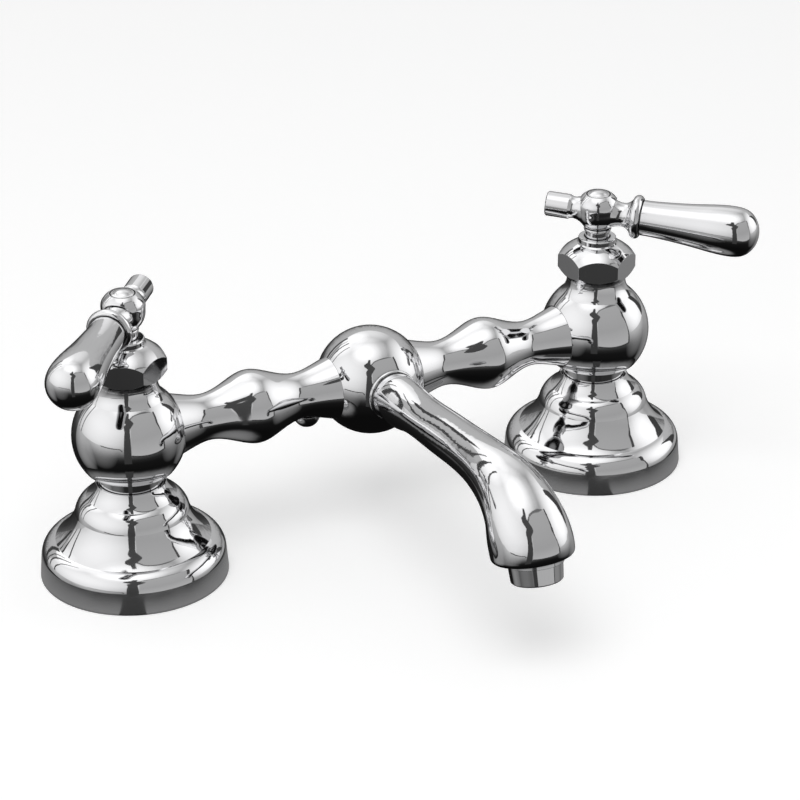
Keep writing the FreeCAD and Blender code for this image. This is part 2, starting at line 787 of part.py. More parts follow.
def handle_fixings(side, place, lever_place):
    """Grip, the stud that carries it, the screw that holds the hub and the cap over it."""
    bore = "stud_radius + slip_clearance"
    root = "lever_collar_end + grip_gap"
    curve, reach = [("grip_root_radius", root)], root
    for name in ("waist", "swell", "belly", "nose", "tip"):
        reach = f"{reach} + grip_{name}_reach"
        curve.append((f"grip_{name}_radius", reach))
    curve.append(("0", f"{reach} + grip_reach"))
    spline_solid(f"{side}_grip", curve, [
        ("0", "stud_end + free_clearance"),
        (bore, "stud_end + free_clearance"),
        (bore, root),
    ], lever_place, tip=True)
    turned_node(f"{side}_grip_stud", [
        ("0", "stud_start + slip_clearance"),
        ("stud_radius", "stud_start + slip_clearance"),
        ("stud_radius", "stud_end"),
        ("0", "stud_end"),
    ], lever_place)
    screw = new_body(f"{side}_handle_screw")
    head_top, screw_end = "screw_head_top", "hub_floor_level - screw_length"
    turned(screw, f"{side}_screw", [
        ("0", screw_end),
        ("screw_radius", screw_end),
        ("screw_radius", "hub_floor_level"),
        ("screw_head_radius", "hub_floor_level"),
        ("screw_head_radius", head_top),
        ("0", head_top),
    ])
    socket = polygon(new_sketch(screw, f"{side}_screw_socket_sketch", "XY_Plane"), "screw_socket")
    socket.AttachmentOffset = FreeCAD.Placement(vector(0, 0, value(head_top)), FreeCAD.Rotation())
    socket.setExpression("AttachmentOffset.Base.z", bound(head_top))
    pocket(screw, f"{side}_screw_socket", socket, "screw_socket_depth")
    screw.Placement = place
    nodes[screw.Label] = screw
    slant = "(cap_radius^2 + cap_crown^2)"
    dome = f"{slant} / (2 * cap_crown)"
    turned_node(f"{side}_index_cap", [
        ("0", "hub_top_height - cap_plug_depth"),
        ("hub_recess_radius - slip_clearance", "hub_top_height - cap_plug_depth"),
        ("hub_recess_radius - slip_clearance", "hub_top_height"),
        ("cap_radius", "hub_top_height + cap_edge"),
        ("0", "hub_top_height + cap_edge + cap_crown",
         f"{dome} - sqrt(({dome})^2 - {slant} / 4)"),
    ], place)


# Bridge: two turned arms, the ball between them and a plug under the left arm


def bridge_arm(side):
    span = "valve_spacing / 2 - valve_joint_reach - ball_joint_reach"
    sign = SIDES[side]
    turn = (Z_AXIS, 90 - 90 * sign)
    place = placed("0", "0", "bridge_height", turn, (Y_AXIS, 90))
    inner_groove = "ball_joint_reach - spigot_length / 2 - groove_width / 2"
    outer_face = f"(ball_joint_reach + {span})"
    outer_groove = f"{outer_face} + spigot_length / 2 - groove_width / 2"
    middle = f"ball_joint_reach + ({span}) / 2"
    curve = [
        ("joint_face_radius", "ball_joint_reach"),
        ("arm_flare_radius", "ball_joint_reach + arm_flare_inset"),
        ("arm_neck_radius", "ball_joint_reach + arm_neck_inset"),
        ("arm_shoulder_radius", f"{middle} - arm_shoulder_inset"),
        ("arm_belly_radius", middle),
        ("arm_shoulder_radius", f"{middle} + arm_shoulder_inset"),
        ("arm_neck_radius", f"{outer_face} - arm_neck_inset"),
        ("arm_flare_radius", f"{outer_face} - arm_flare_inset"),
        ("joint_face_radius", outer_face),
    ]
    core = [
        ("spigot_radius", outer_face),
        ("spigot_radius", outer_groove),
        ("groove_radius", outer_groove),
        ("groove_radius", f"{outer_groove} + groove_width"),
        ("spigot_radius", f"{outer_groove} + groove_width"),
        ("spigot_radius", f"{outer_face} + spigot_length"),
        ("port_radius", f"{outer_face} + spigot_length"),
        ("port_radius", "ball_joint_reach - spigot_length"),
        ("spigot_radius", "ball_joint_reach - spigot_length"),
        ("spigot_radius", inner_groove),
        ("groove_radius", inner_groove),
        ("groove_radius", f"{inner_groove} + groove_width"),
        ("spigot_radius", f"{inner_groove} + groove_width"),
        ("spigot_radius", "ball_joint_reach"),
    ]
    cuts = plug_seat() if side == "left" else ()
    spline_solid(f"bridge_arm_{side}", curve, core, place, cuts=cuts)
    for end, height in (("ball", inner_groove), ("valve", outer_groove)):
        ring_node(f"bridge_seal_{side}_{end}", "groove_radius", "(spigot_radius + slip_clearance)",
                  f"{height} + groove_width / 2", place)


def plug_seat():
    """Flat seat and tapped hole for the plug, in the underside of the left arm's neck."""
    reach, seat = value("plug_reach"), value("plug_seat")
    depth = seat - value("port_radius") / 2
    wide = value("plug_radius + slip_clearance")
    narrow = value("plug_shank_radius + running_clearance")
    return [
        Part.makeCylinder(wide, value("arm_belly_radius"), vector(seat, 0, reach), X_AXIS),
        Part.makeCylinder(narrow, depth, vector(seat - depth, 0, reach), X_AXIS),
    ]


def arm_plug():
    foot = "bridge_height - plug_seat"
    turned_node("bridge_arm_plug", [
        ("0", f"{foot} - plug_height"),
        ("plug_end_radius", f"{foot} - plug_height"),
        ("plug_radius", foot, "plug_bulge"),
        ("plug_shank_radius", foot),
        ("plug_shank_radius", "bridge_height - port_radius"),
        ("0", "bridge_height - port_radius"),
    ], placed("-plug_reach", "0", "0"))


def bridge_ball():
    """Ball with three ports: the arms to its sides and the spout in front, a little raised."""
    body = new_body("bridge_ball")
    turned(body, "ball", [
        ("0", "-ball_radius"),
        ("0", "ball_radius", ("ball_radius", "0")),
    ])
    right = port_outline("ball_joint_reach")[1:-1]
    left = [(minus(x), y) for x, y in reversed(right)]
    turned(body, "side_ports", right + left, axis="H_Axis", cut=True)
    front = [(minus(x), y) for x, y in port_outline("spout_joint_reach")]
    turned(body, "front_port", front, axis="H_Axis", plane="YZ_Plane", turn="-spout_rise", cut=True)
    body.Placement = placed("0", "0", "bridge_height")
    nodes["bridge_ball"] = body


# Spout: lofted through oval sections square to its path, with the same path cored out


SPOUT_SECTIONS = [
    ("spout_root", False, "radius", "radius"),
    ("spout_neck", False, "radius", "radius"),
    ("spout_run", False, "radius", "radius"),
    ("spout_bend", False, "radius", "radius"),
    ("spout_crown", True, "radius", "radius"),
    ("spout_brow", True, "width", "depth"),
    ("spout_cheek", True, "width", "depth"),
    ("spout_mouth", True, "width", "depth"),
]


def spout_path():
    """Reach, height and downward heading of each section, in the spout's own frame."""
    reach, height = value("spout_joint_reach + spout_lip_width"), 0.0
    spots = [(reach, height)]
    for name, drop, _, _ in SPOUT_SECTIONS[1:]:
        reach += value(f"{name}_reach")
        height -= value(f"{name}_drop") if drop else 0.0
        spots.append((reach, height))
    headings = [0.0]
    for before, after in zip(spots, spots[2:]):
        headings.append(math.degrees(math.atan2(before[1] - after[1], after[0] - before[0])))
    headings.append(value("spout_mouth_heading"))
    return [(*spot, heading) for spot, heading in zip(spots, headings)]


def oval(name, spot, across, along):
    """Oval section of the spout, square to its path."""
    reach, height, heading = spot
    section = doc.addObject("Part::Ellipse", name)
    section.MajorRadius = value(across)
    section.MinorRadius = value(along)
    section.setExpression("MajorRadius", bound(across))
    section.setExpression("MinorRadius", bound(along))
    turn = FreeCAD.Rotation(X_AXIS, 90 + heading)
    section.Placement = FreeCAD.Placement(vector(0, -reach, height), turn)
    return section


def loft(name, sections):
    skin = doc.addObject("Part::Loft", name)
    skin.Sections = sections
    skin.Solid = True
    return skin


def combined(kind, name, base, tool):
    result = doc.addObject(kind, name)
    result.Base = base
    result.Tool = tool
    return result


def mouth_place():
    """Frame of the aerator in the spout's mouth, +Z pointing back up into the spout."""
    reach, height, heading = spout_path()[-1]
    turn = FreeCAD.Rotation(X_AXIS, heading - 90)
    middle = FreeCAD.Placement(vector(0, -reach, height), turn)
    return middle * FreeCAD.Placement(vector(0, -value("aerator_offset")), FreeCAD.Rotation())


def spout():
    path = spout_path()
    outer, inner = [], []
    for spot, (name, _, across, along) in zip(path, SPOUT_SECTIONS):
        outer.append(oval(f"{name}_section", spot, f"{name}_{across}", f"{name}_{along}"))
    skin = loft("spout_skin", outer)
    for spot, (name, _, across, along) in list(zip(path, SPOUT_SECTIONS))[1:-1]:
        inner.append(oval(f"{name}_core", spot, f"{name}_{across} - spout_wall",
                          f"{name}_{along} - spout_wall"))
    first = (value(f"spout_joint_reach - spigot_length - {OVERRUN}"), 0.0, 0.0)
    inner.insert(0, oval("spout_spigot_core", first, "port_radius", "port_radius"))
    mouth = mouth_place()
    roof = mouth.multVec(vector(0, 0, value(f"aerator_thread_height + washer_thickness - {OVERRUN}")))
    last = (-roof.y, roof.z, path[-1][2])
    inner.append(oval("spout_mouth_core", last, "aerator_bore", "aerator_bore"))
    core = loft("spout_core", inner)
    root = new_body("spout_root")
    groove = "spout_joint_reach - spigot_length / 2 - groove_width / 2"
    turned(root, "spout_flange", [
        ("0", "spout_joint_reach - spigot_length"),
        ("spigot_radius", "spout_joint_reach - spigot_length"),
        ("spigot_radius", groove),
        ("groove_radius", groove),
        ("groove_radius", f"{groove} + groove_width"),
        ("spigot_radius", f"{groove} + groove_width"),
        ("spigot_radius", "spout_joint_reach"),
        ("spout_lip_radius", "spout_joint_reach"),
        ("spout_lip_radius", "spout_joint_reach + spout_lip_width", "spout_lip_width / 3"),
        ("0", "spout_joint_reach + spout_lip_width"),
    ])
    root.Placement = FreeCAD.Placement(vector(), FreeCAD.Rotation(X_AXIS, 90))
    socket = new_body("aerator_socket")
    turned(socket, "socket", tube_rows("0", "aerator_thread_radius + slip_clearance",
                                       "-spout_mouth_depth",
                                       "aerator_thread_height + washer_thickness"))
    socket.Placement = mouth
    doc.recompute()
    edged = doc.addObject("Part::Fillet", "spout_edged")
    edged.Base = skin
    rims = enumerate(skin.Shape.Edges, start=1)
    rim = min(rims, key=lambda item: item[1].CenterOfMass.distanceToPoint(mouth.Base))[0]
    edged.Edges = [(rim, value("spout_mouth_edge"), value("spout_mouth_edge"))]
    whole = combined("Part::Fuse", "spout_whole", edged, root)
    cored = combined("Part::Cut", "spout_cored", whole, core)
    piece = combined("Part::Cut", "spout", cored, socket)
    piece.Label = "spout"
    rise = (X_AXIS, -value("spout_rise"))
    piece.Placement = placed("0", "0", "bridge_height", rise)
    nodes["spout"] = piece
    ring_place = placed("0", "0", "bridge_height", rise, (X_AXIS, 90))
    ring_node("spout_seal", "groove_radius", "(spigot_radius + slip_clearance)",
              f"{groove} + groove_width / 2", ring_place)
    return placed("0", "0", "bridge_height", rise).multiply(mouth)


def aerator(place):
    """Aerator in the spout's mouth: threaded housing, perforated insert and rubber washer."""
    top = "aerator_thread_height"
    turned_node("aerator_housing", [
        ("aerator_bore - aerator_lip", "-aerator_height"),
        ("aerator_end_radius - aerator_lip / 2", "-aerator_height"),
        ("aerator_end_radius", "-aerator_height + aerator_lip / 2"),
        ("aerator_top_radius", "-aerator_ring_height"),
        ("aerator_ring_radius", "-aerator_ring_height"),
        ("aerator_ring_radius", "0"),
        ("aerator_thread_radius", "0"),
        ("aerator_thread_radius", top),
        ("aerator_bore", top),
        ("aerator_bore", "-aerator_height + aerator_lip_height"),
        ("aerator_bore - aerator_lip", "-aerator_height + aerator_lip_height"),
    ], place)
    insert = new_body("aerator_insert")
    floor = "-aerator_height + aerator_lip_height"
    radius = "aerator_bore - slip_clearance"
    turned(insert, "insert_cup", [
        ("0", floor),
        (radius, floor),
        (radius, f"{floor} + insert_height"),
        (f"{radius} - insert_wall", f"{floor} + insert_height"),
        (f"{radius} - insert_wall", f"{floor} + insert_floor"),
        ("0", f"{floor} + insert_floor"),
    ])
    holes = new_sketch(insert, "insert_holes_sketch", "XY_Plane")
    circle(holes, "0", "0", "insert_hole_radius")
    for count, ring in ((INNER_HOLES, "insert_inner_circle"), (OUTER_HOLES, "insert_outer_circle")):
        for index in range(count):
            angle = f"{index * 360 / count + 180 / count} * 1 deg"
            circle(holes, f"{ring} * cos({angle})", f"{ring} * sin({angle})", "insert_hole_radius")
    pocket(insert, "insert_holes", holes)
    insert.Placement = place
    nodes["aerator_insert"] = insert
    turned_node("aerator_washer", tube_rows("washer_bore", "aerator_thread_radius", top,
                                            f"{top} + washer_thickness"), place)


for side, sign in SIDES.items():
    across = f"{sign} * valve_spacing / 2"
    deck = placed(across, "0", "0")
    inward = (Z_AXIS, 90 + 90 * sign)
    lever_turn = (Z_AXIS, -value("right_opening") if sign > 0 else value("left_opening") - 180)
    escutcheon(side, deck)
    tailpiece(side, deck)
    valve_body(side, placed(across, "0", "bridge_height", inward))
    axis = placed(across, "0", "bridge_height")
    bonnet_nut(side, axis)
    cartridge_housing(side, axis)
    ring_node(f"{side}_housing_seal", "housing_groove_radius", "valve_bore",
              "housing_groove_level + groove_width / 2", axis)
    disc_edge = "housing_cavity_radius - slip_clearance"
    turned_node(f"{side}_seat_seal", tube_rows("seal_bore", disc_edge, "-valve_seat", "disc_foot"),
                axis)
    disc(side, "fixed_disc", "disc_foot", disc_edge, axis, False)
    turning = placed(across, "0", "bridge_height", lever_turn)
    disc(side, "moving_disc", "moving_foot", "disc_radius", turning, True)
    stem(side, turning)
    ring_node(f"{side}_stem_seal", "stem_groove_radius", "stem_radius",
              "stem_groove_level + groove_width / 2", turning)
    hub_place = placed(across, "0", "bridge_height + hub_level", lever_turn)
    handle_hub(side, hub_place)
    tilt = FreeCAD.Placement(vector(), FreeCAD.Rotation(Y_AXIS, 90 + value("lever_droop")))
    handle_fixings(side, hub_place, hub_place * tilt)
    bridge_arm(side)

arm_plug()
bridge_ball()
aerator(spout())
doc.recompute()

faults = [item.Name for item in doc.Objects if {"Invalid", "Error"} & set(item.State)]
if faults:
    raise RuntimeError(f"objects that failed: {faults}")
for name, node in nodes.items():
    if node.Shape.isNull() or not node.Shape.isValid() or not node.Shape.Solids:
        raise RuntimeError(f"{name} has no valid solid")

os.makedirs("parts", exist_ok=True)
for name, node in nodes.items():
    node.Shape.exportStep(f"parts/{name}.step")
print(f"{len(nodes)} nodes")
for name, node in nodes.items():
    solid, box = node.Shape, node.Shape.BoundBox
    print(f"{name}: {solid.Volume:.1f} mm3, z {box.ZMin:.2f} to {box.ZMax:.2f}")
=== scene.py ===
import json
import math

import bmesh
import bpy
from mathutils import Matrix, Vector


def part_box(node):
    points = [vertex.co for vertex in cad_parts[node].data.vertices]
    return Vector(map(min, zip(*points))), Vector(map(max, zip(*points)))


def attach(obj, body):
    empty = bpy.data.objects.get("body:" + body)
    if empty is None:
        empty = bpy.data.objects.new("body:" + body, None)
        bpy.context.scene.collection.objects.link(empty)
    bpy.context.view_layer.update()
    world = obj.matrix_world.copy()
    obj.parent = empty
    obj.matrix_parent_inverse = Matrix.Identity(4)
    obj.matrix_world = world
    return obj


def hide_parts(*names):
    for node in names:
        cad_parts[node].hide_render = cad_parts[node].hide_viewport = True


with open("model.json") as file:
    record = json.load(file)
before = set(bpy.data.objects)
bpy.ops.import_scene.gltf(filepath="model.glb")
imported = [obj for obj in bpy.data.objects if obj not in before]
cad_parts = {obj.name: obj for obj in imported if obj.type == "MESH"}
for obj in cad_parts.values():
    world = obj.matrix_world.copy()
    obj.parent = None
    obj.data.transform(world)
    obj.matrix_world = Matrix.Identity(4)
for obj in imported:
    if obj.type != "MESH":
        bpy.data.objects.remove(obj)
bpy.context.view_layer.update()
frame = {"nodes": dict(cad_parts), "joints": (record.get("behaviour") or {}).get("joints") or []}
nodes = frame["nodes"]


# Bell escutcheons
# Each bell is spun from sheet brass, polished outside and plated in bright chrome. It slips
# over the tailpiece and is pressed down on the deck by the valve body.


class Socket:
    """One output of a finish's nodes. Arithmetic on it adds Math nodes."""

    def __init__(self, finish, output):
        self.finish = finish
        self.output = output

    def maths(self, operation, first, second):
        return self.finish.node("ShaderNodeMath", {"operation": operation}, {0: first, 1: second})

    def __add__(self, other):
        return self.maths("ADD", self, other)

    def __radd__(self, other):
        return self.maths("ADD", other, self)

    def __sub__(self, other):
        return self.maths("SUBTRACT", self, other)

    def __rsub__(self, other):
        return self.maths("SUBTRACT", other, self)

    def __mul__(self, other):
        return self.maths("MULTIPLY", self, other)

    def __rmul__(self, other):
        return self.maths("MULTIPLY", other, self)


class Finish:
    """A material of the faucet, made round one shader."""

    def __init__(self, name, **settings):
        self.material = bpy.data.materials.new(name)
        self.material.use_nodes = True
        self.tree = self.material.node_tree
        self.shader = self.tree.nodes["Principled BSDF"]
        for entry, setting in settings.items():
            self.feed(self.shader.inputs[entry.replace("_", " ").title()], setting)

    def feed(self, entry, source):
        if isinstance(source, Socket):
            self.tree.links.new(source.output, entry)
        else:
            entry.default_value = source

    def node(self, kind, settings=None, sockets=None, output=0):
        """Adds a node of any kind: its settings first, then the values or links it takes."""
        made = self.tree.nodes.new(kind)
        for name, setting in (settings or {}).items():
            if name == "stops":
                for stop, (place, colour) in zip(self.stops(made, len(setting)), setting):
                    stop.position = place
                    stop.color = colour
            else:
                setattr(made, name, setting)
        for name, source in (sockets or {}).items():
            self.feed(made.inputs[name], source)
        return Socket(self, made.outputs[output])

    @staticmethod
    def stops(ramp, count):
        while len(ramp.color_ramp.elements) < count:
            ramp.color_ramp.elements.new(1.0)
        return ramp.color_ramp.elements

    def mix(self, share, first, second):
        """One colour that passes into another by a share."""
        return self.node("ShaderNodeMix", {"data_type": "RGBA"}, {
            "Factor": share, "A": first, "B": second}, output=2)

    def ramp(self, value, stops):
        """Colour by a value, in stops of (value, colour)."""
        return self.node("ShaderNodeValToRGB", {"stops": stops}, {"Fac": value}, output="Color")

    def place(self, scale=(1, 1, 1)):
        """Object coordinates, stretched along the axes where a pattern has a grain."""
        spot = self.node("ShaderNodeTexCoord", output="Object")
        return self.node("ShaderNodeMapping", sockets={"Vector": spot, "Scale": scale})

    def cloud(self, scale, detail, stretch=(1, 1, 1)):
        """Noise from 0 to 1 with features of about 1 / scale metres."""
        return self.node("ShaderNodeTexNoise", sockets={
            "Vector": self.place(stretch), "Scale": scale, "Detail": detail}, output="Fac")

    def relief(self, height, depth, edge):
        """Bumps of a depth in metres, over edges rounded by a radius."""
        rounded = self.node("ShaderNodeBevel", {"samples": 6}, {"Radius": edge})
        bumps = self.node("ShaderNodeBump", sockets={
            "Height": height, "Distance": depth, "Strength": 1.0, "Normal": rounded})
        self.feed(self.shader.inputs["Normal"], bumps)


def grey(level):
    """Plain colour of one level in all three channels."""
    return (level, level, level, 1)


WHITE, BLACK = grey(1), grey(0)
PLATE_DULL, PLATE_BRIGHT = (0.83, 0.83, 0.84, 1), (0.89, 0.89, 0.90, 1)
# Painted shade in joints and recesses: its colour, the reach of the occlusion that finds them,
# and the occlusion at full shade and at none.
CREVICE_SHADE = grey(0.05)
CREVICE_SHADE_REACH = 0.002
CREVICE_SHADE_FULL, CREVICE_SHADE_NONE = 0.40, 0.78
MIRROR_ROUGHNESS = 0.015
HAZE_ROUGHNESS = 0.05
WIPE_ROUGHNESS = 0.03
SATIN_ROUGHNESS = 0.13
SATIN_RIM_HEIGHT = 0.0086
SATIN_FADE = 0.0004
PLATE_RIPPLE = 0.000012
PLATE_EDGE = 0.00018


def bright_chrome(name, satin_height=0.0):
    """Polished chrome plate: a mirror with faint haze and wipe marks, and painted shade that
    darkens its joints and recesses.

    It is satin below satin_height, where a bell's rim isn't polished as far as the rest.
    """
    chrome = Finish(name, metallic=1.0)
    haze = chrome.cloud(scale=38, detail=4.0)
    wipes = chrome.cloud(scale=160, detail=2.0, stretch=(1, 0.25, 1))
    level = chrome.node("ShaderNodeSeparateXYZ", sockets={"Vector": chrome.place()}, output="Z")
    satin = chrome.ramp((level - satin_height) * (1 / SATIN_FADE), [(0.0, WHITE), (1.0, BLACK)])
    chrome.feed(chrome.shader.inputs["Roughness"],
                MIRROR_ROUGHNESS + haze * HAZE_ROUGHNESS + wipes * haze * WIPE_ROUGHNESS
                + satin * SATIN_ROUGHNESS)
    # Painted shade: the base colour turns near black where ambient occlusion finds the plate
    # closed in.
    open_air = chrome.node("ShaderNodeAmbientOcclusion", {"samples": 8}, {
        "Distance": CREVICE_SHADE_REACH}, output="AO")
    crevice_shade = chrome.ramp(open_air, [(CREVICE_SHADE_FULL, WHITE), (CREVICE_SHADE_NONE, BLACK)])
    plate = chrome.mix(haze, PLATE_DULL, PLATE_BRIGHT)
    chrome.feed(chrome.shader.inputs["Base Color"], chrome.mix(crevice_shade, plate, CREVICE_SHADE))
    chrome.relief(chrome.cloud(scale=90, detail=1.5), PLATE_RIPPLE, PLATE_EDGE)
    return chrome.material


def dress(material, *names):
    """Gives CAD nodes a finish."""
    for name in names:
        for holder in nodes[name].material_slots:
            holder.material = material


SIDES = ("left", "right")
chrome = bright_chrome("bright_chrome")
rim_chrome = bright_chrome("rim_chrome", SATIN_RIM_HEIGHT)
for side in SIDES:
    dress(rim_chrome, f"{side}_escutcheon")


# Tailpieces
# Turned brass tails inside the bells, left unplated. Each has a hexagon for the spanner and
# takes the supply in a 1/2 in thread that opens downwards.


def grained(name, colours, roughness, grain, **settings):
    """Finish whose colour and roughness follow one grain, and the grain itself.

    Both colours and both levels of roughness are those at the grain's 0 and 1.
    """
    finish = Finish(name, **settings)
    pattern = finish.cloud(**grain)
    finish.feed(finish.shader.inputs["Base Color"], finish.mix(pattern, *colours))
    smooth, rough = roughness
    finish.feed(finish.shader.inputs["Roughness"], smooth + pattern * (rough - smooth))
    return finish, pattern


BRASS_BRIGHT, BRASS_DULL = (0.78, 0.58, 0.28, 1), (0.52, 0.38, 0.20, 1)
RING_DEPTH, BRASS_EDGE = 0.00002, 0.0001
turned, dull = grained("turned_brass", (BRASS_BRIGHT, BRASS_DULL), roughness=(0.18, 0.43),
                       grain={"scale": 55, "detail": 5.0}, metallic=1.0)
lathe_rings = turned.cloud(scale=900, detail=1.0, stretch=(0.02, 0.02, 1))
turned.relief(lathe_rings, RING_DEPTH, BRASS_EDGE)
brass = turned.material
for side in SIDES:
    dress(brass, f"{side}_tailpiece")

# Valve bodies and bonnet nuts
# Cast brass globes, ground and polished before plating, each closed by a hexagon nut with a
# chamfered and domed top that holds the cartridge down.

for side in SIDES:
    dress(chrome, f"{side}_valve_body", f"{side}_bonnet_nut")

# Cartridges
# Quarter-turn cartridges: a brass housing and spindle, two lapped ceramic discs and black
# rubber rings. Only the spindle shows, in the gap under the handle.

LAPPED_DARK, LAPPED_PALE = (0.88, 0.87, 0.84, 1), (0.94, 0.93, 0.90, 1)
RUBBER_CLEAN, RUBBER_DUSTY = grey(0.012), grey(0.03)
RUBBER_DIMPLES, RUBBER_EDGE = 0.00002, 0.00005
lapped, lapping = grained("lapped_ceramic", (LAPPED_DARK, LAPPED_PALE), roughness=(0.15, 0.30),
                          grain={"scale": 400, "detail": 3.0})
ceramic = lapped.material
moulded, dust = grained("black_rubber", (RUBBER_CLEAN, RUBBER_DUSTY), roughness=(0.50, 0.75),
                        grain={"scale": 250, "detail": 4.0})
moulded.relief(dust, RUBBER_DIMPLES, RUBBER_EDGE)
rubber = moulded.material
for side in SIDES:
    dress(brass, f"{side}_cartridge_housing", f"{side}_stem")
    dress(ceramic, f"{side}_fixed_disc", f"{side}_moving_disc")
    dress(rubber, f"{side}_housing_seal", f"{side}_seat_seal", f"{side}_stem_seal")

# Handles
# Each handle is a cast hub with a stub behind and a collar in front, a turned grip on a steel
# stud, and a socket screw down its middle. The hub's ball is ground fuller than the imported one.

STEEL_DARK, STEEL_BRIGHT = grey(0.55), grey(0.68)
STEEL_GRAIN_DEPTH, STEEL_EDGE = 0.000005, 0.0001
drawn, drawing = grained("brushed_steel", (STEEL_DARK, STEEL_BRIGHT), roughness=(0.22, 0.42),
                         grain={"scale": 700, "detail": 2.0, "stretch": (1, 1, 0.05)},
                         metallic=1.0)
drawn.relief(drawing, STEEL_GRAIN_DEPTH, STEEL_EDGE)
steel = drawn.material

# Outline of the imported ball, as levels above the hub's middle and radii: a ball and a cone.
BALL_RADIUS = 0.0082
CONE_FOOT_LEVEL, CONE_FOOT_RADIUS = 0.0041, 0.0071014
CONE_TOP_LEVEL, CONE_TOP_RADIUS = 0.00735, 0.00495
RECESS_RADIUS = 0.0044
# The fuller ball reaches its own radius at FULL_LEVEL, and its recess widens above a step.
FULL_RADIUS, FULL_LEVEL = 0.00903, 0.0045
WIDE_RECESS, RECESS_STEP = 0.00485, 0.0058
NEW_RINGS = (0.0046, 0.0051, 0.0056, 0.0061, 0.0066, 0.0070)
ON_SURFACE = 0.00006
SAME_POINT = 0.000001
HUB_CREASE = math.radians(32)


def packed_radius(level):
    """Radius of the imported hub's ball at a level above its middle."""
    if level < CONE_FOOT_LEVEL:
        return math.sqrt(BALL_RADIUS ** 2 - level ** 2)
    share = (level - CONE_FOOT_LEVEL) / (CONE_TOP_LEVEL - CONE_FOOT_LEVEL)
    return CONE_FOOT_RADIUS + share * (CONE_TOP_RADIUS - CONE_FOOT_RADIUS)


def fuller_radius(level):
    """Radius of the rounder ball at the same level."""
    share = min(level / FULL_LEVEL, 1.0)
    grown = share * share * (3 - 2 * share)
    return math.sqrt((BALL_RADIUS + grown * (FULL_RADIUS - BALL_RADIUS)) ** 2 - level ** 2)


def growth(out):
    """Factor by which a corner moves out from the valve's axis, from its place in the hub."""
    level, reach = out.z, out.xy.length
    if 0 < level < CONE_TOP_LEVEL + ON_SURFACE:
        if abs(reach - packed_radius(level)) < ON_SURFACE:
            return fuller_radius(level) / packed_radius(level)
        if level > RECESS_STEP and abs(reach - RECESS_RADIUS) < ON_SURFACE:
            return WIDE_RECESS / RECESS_RADIUS
    return 1.0


def ball_hub(side):
    """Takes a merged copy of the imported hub, cuts rings round it and draws them out."""
    turn = next(joint for joint in frame["joints"] if joint["name"] == f"{side}_handle_turn")
    middle = Vector(turn["pos_m"])
    hub = nodes[f"{side}_handle_hub"].copy()
    hub.data = hub.data.copy()
    hub.name = f"{side}_ball_hub"
    bpy.context.collection.objects.link(hub)
    bpy.ops.object.select_all(action="DESELECT")
    hub.select_set(True)
    bpy.context.view_layer.objects.active = hub
    bpy.ops.object.mode_set(mode="EDIT")
    bpy.ops.mesh.select_all(action="SELECT")
    bpy.ops.mesh.remove_doubles(threshold=SAME_POINT)
    for level in NEW_RINGS:
        bpy.ops.mesh.select_all(action="SELECT")
        bpy.ops.mesh.bisect(plane_co=middle + Vector((0, 0, level)), plane_no=(0, 0, 1))
    rings = {}
    for number, corner in enumerate(bmesh.from_edit_mesh(hub.data).verts):
        rings.setdefault(round(growth(corner.co - middle), 5), []).append(number)
    del rings[1.0]
    for grown, numbers in rings.items():
        bpy.ops.mesh.select_all(action="DESELECT")
        shell = bmesh.from_edit_mesh(hub.data)
        shell.verts.ensure_lookup_table()
        for number in numbers:
            shell.verts[number].select_set(True)
        bpy.ops.transform.resize(value=(grown, grown, 1), center_override=middle)
    bpy.ops.object.mode_set(mode="OBJECT")
    bpy.ops.mesh.customdata_custom_splitnormals_clear()
    bpy.ops.object.shade_smooth_by_angle(angle=HUB_CREASE)
    bpy.ops.object.modifier_add(type="WEIGHTED_NORMAL")
    hub.modifiers[-1].keep_sharp = True
    bpy.ops.object.modifier_apply(modifier=hub.modifiers[-1].name)
    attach(hub, f"{side}_handle")
    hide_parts(f"{side}_handle_hub")


for side in SIDES:
    dress(chrome, f"{side}_handle_hub", f"{side}_grip")
    dress(steel, f"{side}_grip_stud", f"{side}_handle_screw")
    ball_hub(side)

# Index caps
# A small button cap, turned from brass and chromed, sits in the top of each hub over its
# screw. It is drawn ring by ring with a low crown, and a fine groove runs round its edge,
# darkened by the chrome's painted shade.

# Radii and heights of its rings above its foot, which is CAP_FOOT below the imported cap's top.
CAP_RINGS = (
    (0.00415, 0.0), (0.00440, 0.00004), (0.00445, 0.00010), (0.00445, 0.00062),
    (0.00441, 0.00078), (0.00430, 0.00088), (0.00410, 0.00093), (0.00386, 0.00093),
    (0.00368, 0.00097), (0.00346, 0.00110), (0.00306, 0.00138), (0.00246, 0.00170),
    (0.00170, 0.00196), (0.00090, 0.00211), (0.00035, 0.00215))
CAP_FOOT = 0.00425
CAP_SIDES = 128
CAP_CREASE = math.radians(40)


